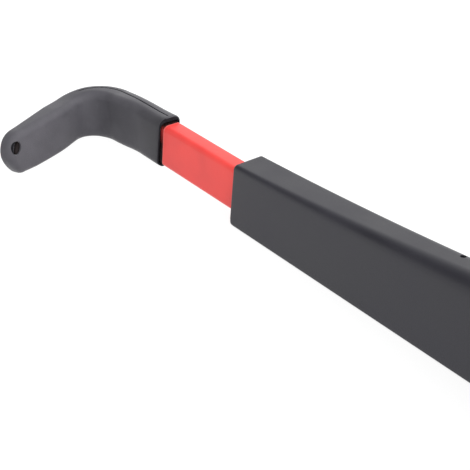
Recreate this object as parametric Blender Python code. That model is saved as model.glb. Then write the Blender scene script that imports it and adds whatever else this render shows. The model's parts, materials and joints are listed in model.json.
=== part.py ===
import math
import bpy
import bmesh
from mathutils import Matrix, Vector

# Driving sizes, metres. X runs along the bar, the hooks point to -Y, Z is up from the rest face.
# Flat steel bars
BAR_WIDTH = 0.025
BAR_THICK = 0.010
BAR_CORNER = 0.0028
BAR_TIP_ROUND = 0.0095

# Clearances: for pieces that slide or seat, for pins and wafers, and for what sits loosely
FIT_GAP = 0.0003
SIDE_GAP = 0.0002
LOOSE_GAP = 0.0004

# Hook path: straight, bend of HOOK_TURN degrees, leg
HOOK_STRAIGHT = 0.0451
HOOK_RADIUS = 0.01875
HOOK_TURN = 117.0
HOOK_LEG = 0.0557
LEG_TAPER = 0.0018

# Rubber cover: wall thicknesses, what the cuff adds to them, and the hole near the tip
COVER_TOP = 0.0016
COVER_BOTTOM = 0.0020
COVER_SIDE = 0.0012
COVER_BEND = 0.0015
COVER_TIP = 0.0042
COVER_CORNER = 0.0047
CUFF_TOP = 0.0027
CUFF_BOTTOM = 0.0005
CUFF_SIDE = 0.0008
CUFF_LIP = 0.0006
TIP_FLAT = 0.0005
TIP_THINNING = 0.0016
COVER_HOLE = 0.0058
HOLE_FROM_TIP = 0.0090

# Guide tube, bushes and the root of the fixed bar
TUBE_WALL = 0.0016
TUBE_CORNER = 0.0018
BUSH_LENGTH = 0.0060
BUSH_INSET = 0.0032
BORE_CORNER = 0.0012
FIXED_ROOT = 0.034
FIXED_EXPOSED = 0.022
RIVET_RADIUS = 0.0025
RIVET_FROM_END = 0.009

# Notches in the bar, counted outwards and inwards from the one under the bolt
NOTCH_PITCH = 0.010
NOTCHES_OUT = 9
NOTCHES_IN = 6
TAIL_PAST_NOTCH = 0.015
TAIL_GAP = 0.0015
CUFF_GAP = 0.0112
STOP_RADIUS = 0.0020
STOP_FROM_TAIL = 0.010

# Housing, measured from its mouth; the origin lies ORIGIN_IN from there, on the rest face
ORIGIN_IN = 0.100
FRONT_LENGTH = 0.200
BOTTOM_WALL = 0.0023
TOP_WALL = 0.0033
SIDE_WALL = 0.0020
CREST_WALL = 0.0031
FLARE_LINE = 0.042
FLARE_CURVE = 0.22
CREST_HALF = 0.010
CREST_RISE = 0.032
CORNER_MOUTH = 0.0015
CORNER_CREST = 0.0050
CORNER_BOTTOM = 0.0016
CORNER_GROWTH = 1.3
MOUTH_ROUND = 0.0010
MOUTH_SLANT = 0.11
MOUTH_SKEW = 0.15
MOUTH_FADE = 0.040
SPLIT_GAP = 0.0003
SLEEVE_PIN_RADIUS = 0.0012
SLEEVE_PIN_SUNK = 0.0022
SLEEVE_PIN_FROM_LOCK = 0.061

# Locking bolt, its crank and its spring
CRANK_THROW = 0.0032
CRANK_PIN = 0.0030
BOLT_SIDE = 0.0005
BOLT_CHEEK = 0.0019
BOLT_ROOF = 0.0022
TOOTH_LIFT = 0.0006
TOOTH_RIGHT = 0.0026
TOOTH_FLAT = 0.0030
TOOTH_SLOPE = 0.0040
SLOT_WEB = 0.0008
SPRING_WIRE = 0.0004
SPRING_RADIUS = 0.0016
SPRING_TURNS = 6
SPRING_WALL = 0.0013
SPRING_FLOOR = 0.0020

# Lock case with its cover plate and screws
CASE_WALL = 0.0021
CASE_END = 0.0054
PLATE_THICK = 0.0018
SCREW_RADIUS = 0.0015
SCREW_HEAD = 0.0022
SCREW_HEAD_TALL = 0.0008
SCREW_DEEP = 0.0075
SCREW_POINT = 0.0004
SCREW_Y = -0.0035

# Key cylinder, from the inside out
PLUG_RADIUS = 0.0055
PLUG_NECK = 0.0036
PLUG_BEVEL = 0.0004
PLUG_PROUD = 0.0002
DISC_THICK = 0.0010
NECK_LENGTH = 0.0014
CLIP_THICK = 0.0008
CLIP_REACH = 0.0012
CLIP_MOUTH = 70.0
WAFER_COUNT = 5
WAFER_PITCH = 0.0024
WAFER_FIRST = 0.0032
WAFER_LAST = 0.0040
WAFER_THICK = 0.0010
WAFER_WIDTH = 0.0060
WAFER_WINDOW = 0.0052
WAFER_STEP = 0.0003
KEYWAY_WIDTH = 0.0020
KEYWAY_TALL = 0.0070
KEYWAY_FLOOR = 0.0015
BARREL_WALL = 0.0017
BARREL_PROUD = 0.0012
BARREL_PIN_RADIUS = 0.0012
BARREL_PIN_FROM_FACE = 0.0095
BOSS_WALL = 0.0017
BOSS_ROOT = 0.0010
BOSS_BEVEL = 0.0006
TRIM_TALL = 0.0014
TRIM_BEVEL = 0.0005

# Facets
PIN_SIDES = 20
BARREL_SIDES = 40
CORNER_STEPS = 3
COVER_STEPS = 5
ARC_STEPS = 14
TIP_STEPS = 7
SLEEVE_STEPS = 25
SMOOTH_ANGLE = 30.0

# Sizes that follow: bar, tube and housing section
HALF_W = BAR_WIDTH / 2
HALF_T = BAR_THICK / 2
SLIDE_Y = HALF_T + FIT_GAP
SLIDE_Z = HALF_W + FIT_GAP
TUBE_Y = SLIDE_Y + TUBE_WALL
TUBE_Z = SLIDE_Z + TUBE_WALL
BORE_Y = TUBE_Y + FIT_GAP
BORE_Z = TUBE_Z + FIT_GAP
HOUSING_HALF = BORE_Y + SIDE_WALL
ZC = BORE_Z + BOTTOM_WALL
BAR_TOP = ZC + HALF_W
MOUTH_ABOVE = BORE_Z + TOP_WALL

# Sizes that follow: lock, upwards from the tube
TRAVEL = 2 * CRANK_THROW * math.sin(math.radians(45))
BOLT_HALF = HALF_T - BOLT_SIDE
BOLT_REACH = CRANK_THROW + CRANK_PIN / 2 + LOOSE_GAP + BOLT_CHEEK
CASE_HALF = BOLT_HALF + LOOSE_GAP + CASE_WALL
CASE_REACH = BOLT_REACH + LOOSE_GAP + CASE_END
BARREL_RADIUS = PLUG_RADIUS + FIT_GAP + BARREL_WALL
BOSS_RADIUS = BARREL_RADIUS + FIT_GAP + BOSS_WALL
CASE_LOW = ZC + TUBE_Z + FIT_GAP
AXIS_Z = CASE_LOW + BOSS_RADIUS
SLOT_Z = AXIS_Z + TRAVEL / 2
BOLT_TOP = SLOT_Z + CRANK_PIN / 2 + FIT_GAP + BOLT_ROOF
CASE_TOP = BOLT_TOP + LOOSE_GAP
PLATE_LOW = CASE_TOP + FIT_GAP
PLATE_TOP = PLATE_LOW + PLATE_THICK
CREST_ABOVE = AXIS_Z + BOSS_RADIUS + LOOSE_GAP + CREST_WALL - ZC
TOOTH_TIP = BAR_TOP + TOOTH_LIFT
TOOTH_LEFT = TOOTH_RIGHT - TOOTH_FLAT - TOOTH_SLOPE
NOTCH_DEPTH = TRAVEL - TOOTH_LIFT + FIT_GAP
BODY_LOW = CASE_LOW + TRAVEL
SPRING_HOLE = SPRING_RADIUS + SPRING_WIRE + FIT_GAP
SPRING_LOW = BODY_LOW + SPRING_FLOOR + FIT_GAP

# Sizes that follow: key cylinder, outwards from the bolt
DISC_START = BOLT_HALF + FIT_GAP
DISC_END = DISC_START + DISC_THICK
BARREL_START = DISC_END + NECK_LENGTH + SIDE_GAP
WAFER_YS = [BARREL_START + WAFER_FIRST + k * WAFER_PITCH for k in range(WAFER_COUNT)]
WAFER_TALL = 2 * math.sqrt((PLUG_RADIUS - SIDE_GAP) ** 2 - (WAFER_WIDTH / 2) ** 2)
BARREL_FACE = WAFER_YS[-1] + WAFER_LAST
BOSS_FACE = BARREL_FACE - BARREL_PROUD
PLUG_FACE = BARREL_FACE + PLUG_PROUD
BARREL_PIN_Y = BOSS_FACE - BARREL_PIN_FROM_FACE

# Places along the bar
LOCK_X = FRONT_LENGTH
CREST_START = FRONT_LENGTH - CREST_HALF
FLARE_END = CREST_START - CREST_RISE
TUBE_START = BUSH_INSET + BUSH_LENGTH + FIT_GAP
TAIL_X = LOCK_X + NOTCHES_OUT * NOTCH_PITCH + TAIL_PAST_NOTCH
STOP_X = TAIL_X - STOP_FROM_TAIL
FIXED_START = TAIL_X + NOTCHES_IN * NOTCH_PITCH + TAIL_GAP
TUBE_END = FIXED_START + FIXED_ROOT
END_X = TUBE_END + TUBE_START
REAR_LENGTH = END_X - FRONT_LENGTH
MOUTH_TO_CUFF = NOTCHES_IN * NOTCH_PITCH + CUFF_GAP
BEND_X = -(MOUTH_TO_CUFF + HOOK_STRAIGHT)
MIRROR_X = END_X + FIXED_EXPOSED - MOUTH_TO_CUFF
RIVET_XS = (FIXED_START + RIVET_FROM_END, TUBE_END - RIVET_FROM_END)
PIN_XS = (LOCK_X - SLEEVE_PIN_FROM_LOCK, LOCK_X + SLEEVE_PIN_FROM_LOCK)
SCREW_XS = (LOCK_X - CASE_REACH + CASE_END / 2, LOCK_X + CASE_REACH - CASE_END / 2)
SPRING_X = LOCK_X - BOLT_REACH + SPRING_WALL + SPRING_HOLE
ARC = HOOK_RADIUS * math.radians(HOOK_TURN)
BAR_END = ARC + HOOK_LEG - COVER_TIP

# Cutters run this far past what they cut
PAST = 2 * HOUSING_HALF

BLACK = (0.055, 0.054, 0.060)
RUBBER = (0.070, 0.068, 0.072)
RED = (0.80, 0.075, 0.065)
STEEL = (0.55, 0.56, 0.58)
ZINC = (0.16, 0.16, 0.17)
BRASS = (0.72, 0.55, 0.25)
CHROME = (0.80, 0.81, 0.83)
NYLON = (0.12, 0.12, 0.13)

for old in list(bpy.data.objects):
    bpy.data.objects.remove(old, do_unlink=True)


def paint(name, color, metallic, rough):
    mat = bpy.data.materials.new(name)
    mat.use_nodes = True
    node = mat.node_tree.nodes["Principled BSDF"]
    node.inputs["Base Color"].default_value = (*color, 1.0)
    node.inputs["Metallic"].default_value = metallic
    node.inputs["Roughness"].default_value = rough
    mat.diffuse_color = (*color, 1.0)
    return mat


def put(name, bm, color, metallic=0.0, rough=0.5):
    bmesh.ops.remove_doubles(bm, verts=bm.verts, dist=0.000001)
    bmesh.ops.recalc_face_normals(bm, faces=bm.faces)
    bmesh.ops.translate(bm, verts=bm.verts, vec=(-ORIGIN_IN, 0, 0))
    mesh = bpy.data.meshes.new(name)
    bm.to_mesh(mesh)
    bm.free()
    obj = bpy.data.objects.new(name, mesh)
    bpy.context.scene.collection.objects.link(obj)
    mesh.materials.append(paint(name + "_paint", color, metallic, rough))
    return obj


def skin(rings):
    # Closed skin over a list of rings, each a list of points, with a flat face on both ends
    bm = bmesh.new()
    made = [[bm.verts.new(p) for p in ring] for ring in rings]
    count = len(made[0])
    for a, b in zip(made, made[1:]):
        for i in range(count):
            j = (i + 1) % count
            bm.faces.new((a[i], a[j], b[j], b[i]))
    bm.faces.new(made[0])
    bm.faces.new(list(reversed(made[-1])))
    return bm


def along_x(u, v, w):
    return Vector((w, u, v))


def along_y(u, v, w):
    return Vector((u, w, v))


def along_z(u, v, w):
    return Vector((u, v, w))


def prism(outline, place, start, end):
    return skin([[place(u, v, w) for u, v in outline] for w in (start, end)])


def box(x0, x1, y0, y1, z0, z1):
    return prism([(y0, z0), (y1, z0), (y1, z1), (y0, z1)], along_x, x0, x1)


def lock_box(half, y0, y1, z0, z1):
    return box(LOCK_X - half, LOCK_X + half, y0, y1, z0, z1)


def circle(cu, cv, radius, count):
    turns = [2 * math.pi * k / count for k in range(count)]
    return [(cu + radius * math.cos(a), cv + radius * math.sin(a)) for a in turns]


def turned(place, cu, cv, levels, count):
    # Round body from (radius, distance along its axis) levels
    return skin([[place(u, v, w) for u, v in circle(cu, cv, r, count)] for r, w in levels])


def rounded(y0, y1, z0, z1, radii, steps):
    # Rounded rectangle; radii are given for the corners (+y+z, -y+z, -y-z, +y-z)
    spots = ((y1, z1, -1, -1, 0), (y0, z1, 1, -1, 90), (y0, z0, 1, 1, 180), (y1, z0, -1, 1, 270))
    points = []
    for (y, z, sy, sz, start), r in zip(spots, radii):
        for k in range(steps + 1):
            a = math.radians(start + 90 * k / steps)
            points.append((y + sy * r + r * math.cos(a), z + sz * r + r * math.sin(a)))
    return points


def flat_bar(half_y, half_z, corner, start, end):
    # Straight rounded bar on the bar's own axis
    outline = rounded(-half_y, half_y, ZC - half_z, ZC + half_z, (corner,) * 4, CORNER_STEPS)
    return prism(outline, along_x, start, end)


def tool(bm):
    return put("tool", bm, STEEL)


def hole(place, cu, cv, radius, start, end, count=PIN_SIDES):
    return tool(prism(circle(cu, cv, radius, count), place, start, end))


def shape(obj, others, operation="DIFFERENCE"):
    for other in others:
        mod = obj.modifiers.new("shape", "BOOLEAN")
        mod.operation = operation
        mod.solver = "EXACT"
        mod.object = other
    graph = bpy.context.evaluated_depsgraph_get()
    made = bpy.data.meshes.new_from_object(obj.evaluated_get(graph))
    finish = obj.data.materials[0]
    obj.modifiers.clear()
    obj.data = made
    made.materials.clear()
    made.materials.append(finish)
    for poly in made.polygons:
        poly.material_index = 0
    for other in others:
        bpy.data.objects.remove(other, do_unlink=True)
    bm = bmesh.new()
    bm.from_mesh(made)
    bmesh.ops.remove_doubles(bm, verts=bm.verts, dist=0.000002)
    bmesh.ops.dissolve_degenerate(bm, edges=bm.edges, dist=0.000002)
    bmesh.ops.triangulate(bm, faces=bm.faces)
    bm.to_mesh(made)
    bm.free()
    return obj


# Hook path: s is the distance past the start of the bend, negative along the straight
def hook_point(s):
    a = min(max(s, 0.0), ARC) / HOOK_RADIUS
    past = max(0.0, s - ARC) - max(0.0, -s)
    x = BEND_X - HOOK_RADIUS * math.sin(a) - past * math.cos(a)
    y = -HOOK_RADIUS * (1 - math.cos(a)) - past * math.sin(a)
    return x, y, a


def handed(point, mirrored):
    return Vector((MIRROR_X - point[0], point[1], point[2])) if mirrored else Vector(point)


def hook_ring(s, outline, mirrored):
    # Outline points are (offset to the outer side of the bend, height from the bar's middle)
    x, y, a = hook_point(s)
    return [handed((x - u * math.sin(a), y + u * math.cos(a), ZC + v), mirrored) for u, v in outline]


ARC_STATIONS = [ARC * k / ARC_STEPS for k in range(ARC_STEPS + 1)]


def taper(s):
    # Loss of half height from a third of the way round the bend to the tip
    start = ARC / 3
    return LEG_TAPER * min(1.0, max(0.0, (s - start) / (BAR_END - start)))


def tip_half(rest, half, radius):
    # Half height at a distance rest from a rounded end
    if rest >= radius:
        return half
    return half - radius + math.sqrt(max(radius ** 2 - (radius - rest) ** 2, 0.0))


def tip_stations(end, radius):
    turns = [math.radians(90) * k / TIP_STEPS for k in range(TIP_STEPS + 1)]
    return [end - radius * (1 - math.sin(a)) for a in turns]


def bar_rings(first, gap, mirrored):
    rings = []
    end = BAR_END + gap
    radius = BAR_TIP_ROUND + gap
    for s in [first] + ARC_STATIONS + tip_stations(end, radius):
        half = tip_half(end - s, HALF_W + gap - taper(s), radius)
        outline = rounded(-HALF_T - gap, HALF_T + gap, -half, half, (BAR_CORNER + gap,) * 4, CORNER_STEPS)
        rings.append(hook_ring(s, outline, mirrored))
    return rings


def cover_rings(mirrored):
    # The rubber is thickest on the inner side of the bend, flares at the cuff and closes round the tip
    rings = []
    end = ARC + HOOK_LEG
    swell_reach = 0.9 * ARC
    swell_end = ARC / 2 + swell_reach
    radius = HALF_W + min(COVER_TOP, COVER_BOTTOM) - LEG_TAPER - TIP_FLAT
    straight = [-HOOK_STRAIGHT * (1 - k / 6) for k in range(6)]
    leg = [ARC + (swell_end - ARC) * k / 3 for k in range(1, 4)]
    for s in straight + ARC_STATIONS + leg + tip_stations(end, radius):
        cuff = max(0.0, -s / HOOK_STRAIGHT)
        swell = max(0.0, 1 - ((s - ARC / 2) / swell_reach) ** 2) ** 2
        drop = 1 - tip_half(end - s, radius, radius) / radius
        lip = CUFF_LIP if s == straight[0] else 0.0
        half = HALF_W - taper(s) - radius * drop - lip
        top = half + COVER_TOP + CUFF_TOP * cuff
        low = half + COVER_BOTTOM + CUFF_BOTTOM * cuff
        back = HALF_T + COVER_SIDE + CUFF_SIDE * cuff - TIP_THINNING * drop - lip
        corner = min(COVER_CORNER, 0.96 * back, 0.45 * (top + low))
        outline = rounded(-back - COVER_BEND * swell, back, -low, top, (corner,) * 4, COVER_STEPS)
        rings.append(hook_ring(s, outline, mirrored))
    return rings


def hook_cover(name, mirrored):
    obj = put(name, skin(cover_rings(mirrored)), RUBBER, 0.0, 0.6)
    hollow = tool(skin(bar_rings(-HOOK_STRAIGHT - PAST, FIT_GAP, mirrored)))
    x, y, a = hook_point(ARC + HOOK_LEG - HOLE_FROM_TIP)
    rings = []
    for depth in (0.0, PAST):
        middle = (x + depth * math.sin(a), y - depth * math.cos(a))
        rings.append([handed((middle[0] + u * math.cos(a), middle[1] + u * math.sin(a), ZC + v), mirrored)
                      for u, v in circle(0, 0, COVER_HOLE / 2, PIN_SIDES)])
    return shape(obj, [hollow, tool(skin(rings))])


# Sliding bar with its hook, ratchet notches and stop hole
def notch(cx):
    low = BAR_TOP - NOTCH_DEPTH
    left = cx + TOOTH_RIGHT - TOOTH_FLAT - LOOSE_GAP
    right = cx + TOOTH_RIGHT + LOOSE_GAP
    high = BAR_TOP + FIT_GAP
    outline = [(left, low), (right, low), (right, high), (left - (high - low), high)]
    return tool(prism(outline, along_y, -PAST, PAST))


slide_bar = put("slide_bar", skin(bar_rings(BEND_X - TAIL_X, 0.0, False)), RED, 0.1, 0.35)
notches = [notch(LOCK_X + k * NOTCH_PITCH) for k in range(-NOTCHES_IN, NOTCHES_OUT + 1)]
shape(slide_bar, notches + [hole(along_y, STOP_X, ZC, STOP_RADIUS + SIDE_GAP, -PAST, PAST)])
slide_hook_cover = hook_cover("slide_hook_cover", False)
stop_pin = put("stop_pin", prism(circle(STOP_X, ZC, STOP_RADIUS, PIN_SIDES), along_y,
                                 FIT_GAP - TUBE_Y, HALF_T - SIDE_GAP), STEEL, 1.0, 0.35)

# Fixed bar with the second hook, riveted in the tube
fixed_bar = put("fixed_bar", skin(bar_rings(BEND_X - MIRROR_X + FIXED_START, 0.0, True)), RED, 0.1, 0.35)
shape(fixed_bar, [hole(along_y, x, ZC, RIVET_RADIUS + SIDE_GAP, -PAST, PAST) for x in RIVET_XS])
hook_cover("fixed_hook_cover", True)
for k, x in enumerate(RIVET_XS):
    put("bar_rivet_%d" % (k + 1), prism(circle(x, ZC, RIVET_RADIUS, PIN_SIDES), along_y,
                                        SIDE_GAP - TUBE_Y, TUBE_Y - SIDE_GAP), STEEL, 1.0, 0.4)


# Guide tube with bolt window, stop slot and fastening holes
def slide_way():
    return tool(flat_bar(SLIDE_Y, SLIDE_Z, BAR_CORNER / 2, -PAST, END_X + PAST))


def sleeve_pin_hole(x, top):
    return hole(along_z, x, HALF_T, SLEEVE_PIN_RADIUS + SIDE_GAP, BAR_TOP, top)


tube_stock = flat_bar(TUBE_Y, TUBE_Z, TUBE_CORNER, TUBE_START, TUBE_END)
guide_tube = put("guide_tube", tube_stock, STEEL, 1.0, 0.45)
window = tool(box(LOCK_X + TOOTH_LEFT - LOOSE_GAP, LOCK_X + TOOTH_RIGHT + LOOSE_GAP,
                  -BOLT_HALF - LOOSE_GAP, BOLT_HALF + LOOSE_GAP, BAR_TOP, CASE_LOW))
stop_slot = tool(box(STOP_X - NOTCHES_OUT * NOTCH_PITCH - STOP_RADIUS - LOOSE_GAP,
                     STOP_X + NOTCHES_IN * NOTCH_PITCH + STOP_RADIUS + LOOSE_GAP,
                     -PAST, -HALF_T, ZC - STOP_RADIUS - FIT_GAP, ZC + STOP_RADIUS + FIT_GAP))
cuts = [slide_way(), window, stop_slot]
cuts += [hole(along_y, x, ZC, RIVET_RADIUS + SIDE_GAP, -PAST, PAST) for x in RIVET_XS]
cuts += [sleeve_pin_hole(x, CASE_LOW) for x in PIN_XS]
shape(guide_tube, cuts)

# Bushes that centre the bars in both ends
for name, start in (("mouth_bush", BUSH_INSET), ("rear_bush", END_X - BUSH_INSET - BUSH_LENGTH)):
    block = flat_bar(BORE_Y - SIDE_GAP, BORE_Z - SIDE_GAP, BORE_CORNER, start, start + BUSH_LENGTH)
    shape(put(name, block, NYLON, 0.0, 0.5), [slide_way()])


# Housing sleeves: flat sides, straight lower edge, top edge rising to a crest over the lock
def top_above(x):
    # Height of the top edge over the bar's middle, x from the front mouth
    end = min(x, FLARE_END)
    flare = MOUTH_ABOVE + FLARE_LINE * end + FLARE_CURVE * end * end
    if x <= FLARE_END:
        return flare
    slope = FLARE_LINE + 2 * FLARE_CURVE * FLARE_END
    t = min(1.0, (x - FLARE_END) / CREST_RISE)
    leave = (2 * t ** 3 - 3 * t ** 2 + 1) * flare + (t ** 3 - 2 * t ** 2 + t) * CREST_RISE * slope
    return leave + (3 * t ** 2 - 2 * t ** 3) * CREST_ABOVE


def top_corner(x):
    t = min(1.0, x / FLARE_END)
    return CORNER_MOUTH + (CORNER_CREST - CORNER_MOUTH) * t ** CORNER_GROWTH


def sleeve_ring(x, inset, length, mirrored):
    # x from the sleeve's own mouth; both sleeves have the same top edge, measured from the lock
    along = max(0.0, x + FRONT_LENGTH - length)
    half = HOUSING_HALF - inset
    upper = top_corner(along) - inset / 2
    lower = CORNER_BOTTOM - inset / 2
    top = ZC + top_above(along) - inset
    outline = rounded(-half, half, inset, top, (upper, upper, lower, lower), COVER_STEPS)
    fade = max(0.0, 1 - x / MOUTH_FADE)
    ring = []
    for u, v in outline:
        px = x + (MOUTH_SLANT * (v - ZC) - MOUTH_SKEW * (u + HOUSING_HALF)) * fade
        ring.append(Vector((END_X - px if mirrored else px, u, v)))
    return ring


def sleeve(name, length, mirrored):
    turns = [math.radians(30) * k for k in range(4)]
    stations = [(MOUTH_ROUND * (1 - math.cos(a)), MOUTH_ROUND * (1 - math.sin(a))) for a in turns]
    run = length - SPLIT_GAP / 2 - MOUTH_ROUND
    stations += [(MOUTH_ROUND + run * k / SLEEVE_STEPS, 0.0) for k in range(1, SLEEVE_STEPS + 1)]
    rings = [sleeve_ring(x, inset, length, mirrored) for x, inset in stations]
    obj = put(name, skin(rings), BLACK, 0.0, 0.55)
    bore = tool(flat_bar(BORE_Y, BORE_Z, BORE_CORNER, -PAST, END_X + PAST))
    depth = CASE_HALF + FIT_GAP
    room = tool(lock_box(CASE_REACH + LOOSE_GAP, -depth, depth, ZC + TUBE_Z, PLATE_TOP + LOOSE_GAP))
    boss = hole(along_y, LOCK_X, AXIS_Z, BOSS_RADIUS + LOOSE_GAP, 0.0, PAST, BARREL_SIDES)
    pin = sleeve_pin_hole(PIN_XS[1] if mirrored else PIN_XS[0], ZC + CREST_ABOVE)
    return shape(obj, [bore, room, boss, pin])


sleeve("front_sleeve", FRONT_LENGTH, False)
sleeve("rear_sleeve", REAR_LENGTH, True)
PIN_LOW = BAR_TOP + FIT_GAP + LOOSE_GAP
PIN_TOP = ZC + top_above(PIN_XS[0]) - SLEEVE_PIN_SUNK
for name, x in (("front_sleeve_pin", PIN_XS[0]), ("rear_sleeve_pin", PIN_XS[1])):
    outline = circle(x, HALF_T, SLEEVE_PIN_RADIUS, PIN_SIDES)
    put(name, prism(outline, along_z, PIN_LOW, PIN_TOP), STEEL, 1.0, 0.4)

# Lock case with its boss, bolt channel and barrel bore
case_block = lock_box(CASE_REACH, -CASE_HALF, CASE_HALF, CASE_LOW, CASE_TOP)
lock_case = put("lock_case", case_block, ZINC, 0.6, 0.5)
boss_levels = ((BOSS_RADIUS, CASE_HALF - BOSS_ROOT), (BOSS_RADIUS, BOSS_FACE - BOSS_BEVEL),
               (BOSS_RADIUS - BOSS_BEVEL, BOSS_FACE))
boss = tool(turned(along_y, LOCK_X, AXIS_Z, boss_levels, BARREL_SIDES))
plate_room = tool(lock_box(CASE_REACH, 0.0, CASE_HALF + FIT_GAP, CASE_TOP, CASE_TOP + PAST))
shape(boss, [plate_room])
shape(lock_case, [boss], "UNION")
channel = tool(lock_box(BOLT_REACH + LOOSE_GAP, -BOLT_HALF - LOOSE_GAP, BOLT_HALF + LOOSE_GAP,
                        CASE_LOW - PAST, CASE_TOP + PAST))
barrel_bore = hole(along_y, LOCK_X, AXIS_Z, BARREL_RADIUS + FIT_GAP, BOLT_HALF, BOSS_FACE + PAST,
                   BARREL_SIDES)


def barrel_pin_hole():
    radius = BARREL_PIN_RADIUS + SIDE_GAP
    return hole(along_z, LOCK_X, BARREL_PIN_Y, radius, AXIS_Z + PLUG_RADIUS / 2, AXIS_Z + PAST)


def screw_hole(x):
    bottom = CASE_TOP - SCREW_DEEP - FIT_GAP
    return hole(along_z, x, SCREW_Y, SCREW_RADIUS + SIDE_GAP, bottom, CASE_TOP + PAST)


shape(lock_case, [channel, barrel_bore, barrel_pin_hole()] + [screw_hole(x) for x in SCREW_XS])

# Cover plate over the bolt channel, with its two screws
plate_block = lock_box(CASE_REACH, -CASE_HALF, CASE_HALF, PLATE_LOW, PLATE_TOP)
case_plate = put("case_plate", plate_block, STEEL, 1.0, 0.45)
head_low = PLATE_TOP - SCREW_HEAD_TALL


def head_seat(x):
    return hole(along_z, x, SCREW_Y, SCREW_HEAD + FIT_GAP, head_low - FIT_GAP, PLATE_TOP + PAST)


shape(case_plate, [screw_hole(x) for x in SCREW_XS] + [head_seat(x) for x in SCREW_XS])
screw_low = CASE_TOP - SCREW_DEEP
screw_levels = ((SCREW_RADIUS - SCREW_POINT, screw_low), (SCREW_RADIUS, screw_low + SCREW_POINT),
                (SCREW_RADIUS, head_low), (SCREW_HEAD, head_low), (SCREW_HEAD, PLATE_TOP))
for k, x in enumerate(SCREW_XS):
    put("case_screw_%d" % (k + 1), turned(along_z, x, SCREW_Y, screw_levels, PIN_SIDES), STEEL, 1.0, 0.35)

# Locking bolt, tooth down, raised clear of the bar
bolt_corners = [(TOOTH_RIGHT - TOOTH_FLAT, TOOTH_TIP), (TOOTH_RIGHT, TOOTH_TIP), (TOOTH_RIGHT, BODY_LOW),
                (BOLT_REACH, BODY_LOW), (BOLT_REACH, BOLT_TOP), (-BOLT_REACH, BOLT_TOP),
                (-BOLT_REACH, BODY_LOW), (TOOTH_LEFT, BODY_LOW), (TOOTH_LEFT, TOOTH_TIP + TOOTH_SLOPE)]
bolt_outline = [(LOCK_X + u, v) for u, v in bolt_corners]
locking_bolt = put("locking_bolt", prism(bolt_outline, along_y, -BOLT_HALF, BOLT_HALF), STEEL, 1.0, 0.3)
pin_half = CRANK_PIN / 2 + FIT_GAP
crank_slot = tool(box(LOCK_X + TRAVEL / 2 - pin_half, LOCK_X + CRANK_THROW + CRANK_PIN / 2 + LOOSE_GAP,
                      SLOT_WEB, PAST, SLOT_Z - pin_half, SLOT_Z + pin_half))
spring_hole = hole(along_z, SPRING_X, 0.0, SPRING_HOLE, SPRING_LOW - FIT_GAP, BOLT_TOP + PAST)
shape(locking_bolt, [crank_slot, spring_hole])


# Bolt spring, a wire wound between the bolt and the cover plate
def spring():
    turn_steps = 14
    wire_sides = 7
    low = SPRING_LOW + SPRING_WIRE
    high = PLATE_LOW - FIT_GAP - SPRING_WIRE
    rings = []
    for k in range(SPRING_TURNS * turn_steps + 1):
        a = 2 * math.pi * k / turn_steps
        out = Vector((math.cos(a), math.sin(a), 0))
        rise = (high - low) * k / (SPRING_TURNS * turn_steps)
        centre = Vector((SPRING_X, 0, low + rise)) + SPRING_RADIUS * out
        wire = circle(0, 0, SPRING_WIRE, wire_sides)
        rings.append([centre + u * out + Vector((0, 0, v)) for u, v in wire])
    return skin(rings)


put("bolt_spring", spring(), STEEL, 1.0, 0.3)

# Cylinder barrel and the pin that keeps it in the case
barrel_stock = prism(circle(LOCK_X, AXIS_Z, BARREL_RADIUS, BARREL_SIDES), along_y, BARREL_START, BARREL_FACE)
cylinder_barrel = put("cylinder_barrel", barrel_stock, BRASS, 1.0, 0.35)
plug_bore = hole(along_y, LOCK_X, AXIS_Z, PLUG_RADIUS + FIT_GAP, 0.0, BARREL_FACE + PAST, BARREL_SIDES)
shape(cylinder_barrel, [plug_bore, barrel_pin_hole()])
pin_outline = circle(LOCK_X, BARREL_PIN_Y, BARREL_PIN_RADIUS, PIN_SIDES)
pin_start = AXIS_Z + PLUG_RADIUS + 2 * FIT_GAP
put("barrel_pin", prism(pin_outline, along_z, pin_start, AXIS_Z + BOSS_RADIUS - LOOSE_GAP), STEEL, 1.0, 0.4)


# Bright ring round the key face
def trim_ring():
    inner = BARREL_RADIUS + FIT_GAP
    outer = BOSS_RADIUS - BOSS_BEVEL
    low = BOSS_FACE + FIT_GAP
    high = BOSS_FACE + TRIM_TALL
    section = ((inner, low), (outer, low), (outer, high - TRIM_BEVEL), (outer - TRIM_BEVEL, high),
               (inner, high))
    bm = bmesh.new()
    loops = []
    for r, y in section:
        loops.append([bm.verts.new(along_y(u, v, y)) for u, v in circle(LOCK_X, AXIS_Z, r, BARREL_SIDES)])
    for a, b in zip(loops, loops[1:] + loops[:1]):
        for i in range(BARREL_SIDES):
            j = (i + 1) % BARREL_SIDES
            bm.faces.new((a[i], a[j], b[j], b[i]))
    return bm


put("key_ring_trim", trim_ring(), CHROME, 1.0, 0.15)

# Key plug with its neck, crank disc and crank pin
disc = CRANK_THROW + CRANK_PIN / 2 + SIDE_GAP
shoulder = BARREL_START - SIDE_GAP
plug_levels = ((disc, DISC_START), (disc, DISC_END), (PLUG_NECK, DISC_END), (PLUG_NECK, shoulder),
               (PLUG_RADIUS, shoulder), (PLUG_RADIUS, PLUG_FACE - PLUG_BEVEL),
               (PLUG_RADIUS - PLUG_BEVEL, PLUG_FACE))
key_plug = put("key_plug", turned(along_y, LOCK_X, AXIS_Z, plug_levels, BARREL_SIDES), CHROME, 1.0, 0.25)
crank_pin = hole(along_y, LOCK_X + TRAVEL / 2, AXIS_Z + TRAVEL / 2, CRANK_PIN / 2, SLOT_WEB + LOOSE_GAP,
                 DISC_START + DISC_THICK / 2)
shape(key_plug, [crank_pin], "UNION")
keyway = tool(lock_box(KEYWAY_WIDTH / 2, BARREL_START + KEYWAY_FLOOR, PLUG_FACE + PAST,
                       AXIS_Z - KEYWAY_TALL / 2, AXIS_Z + KEYWAY_TALL / 2))


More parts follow.
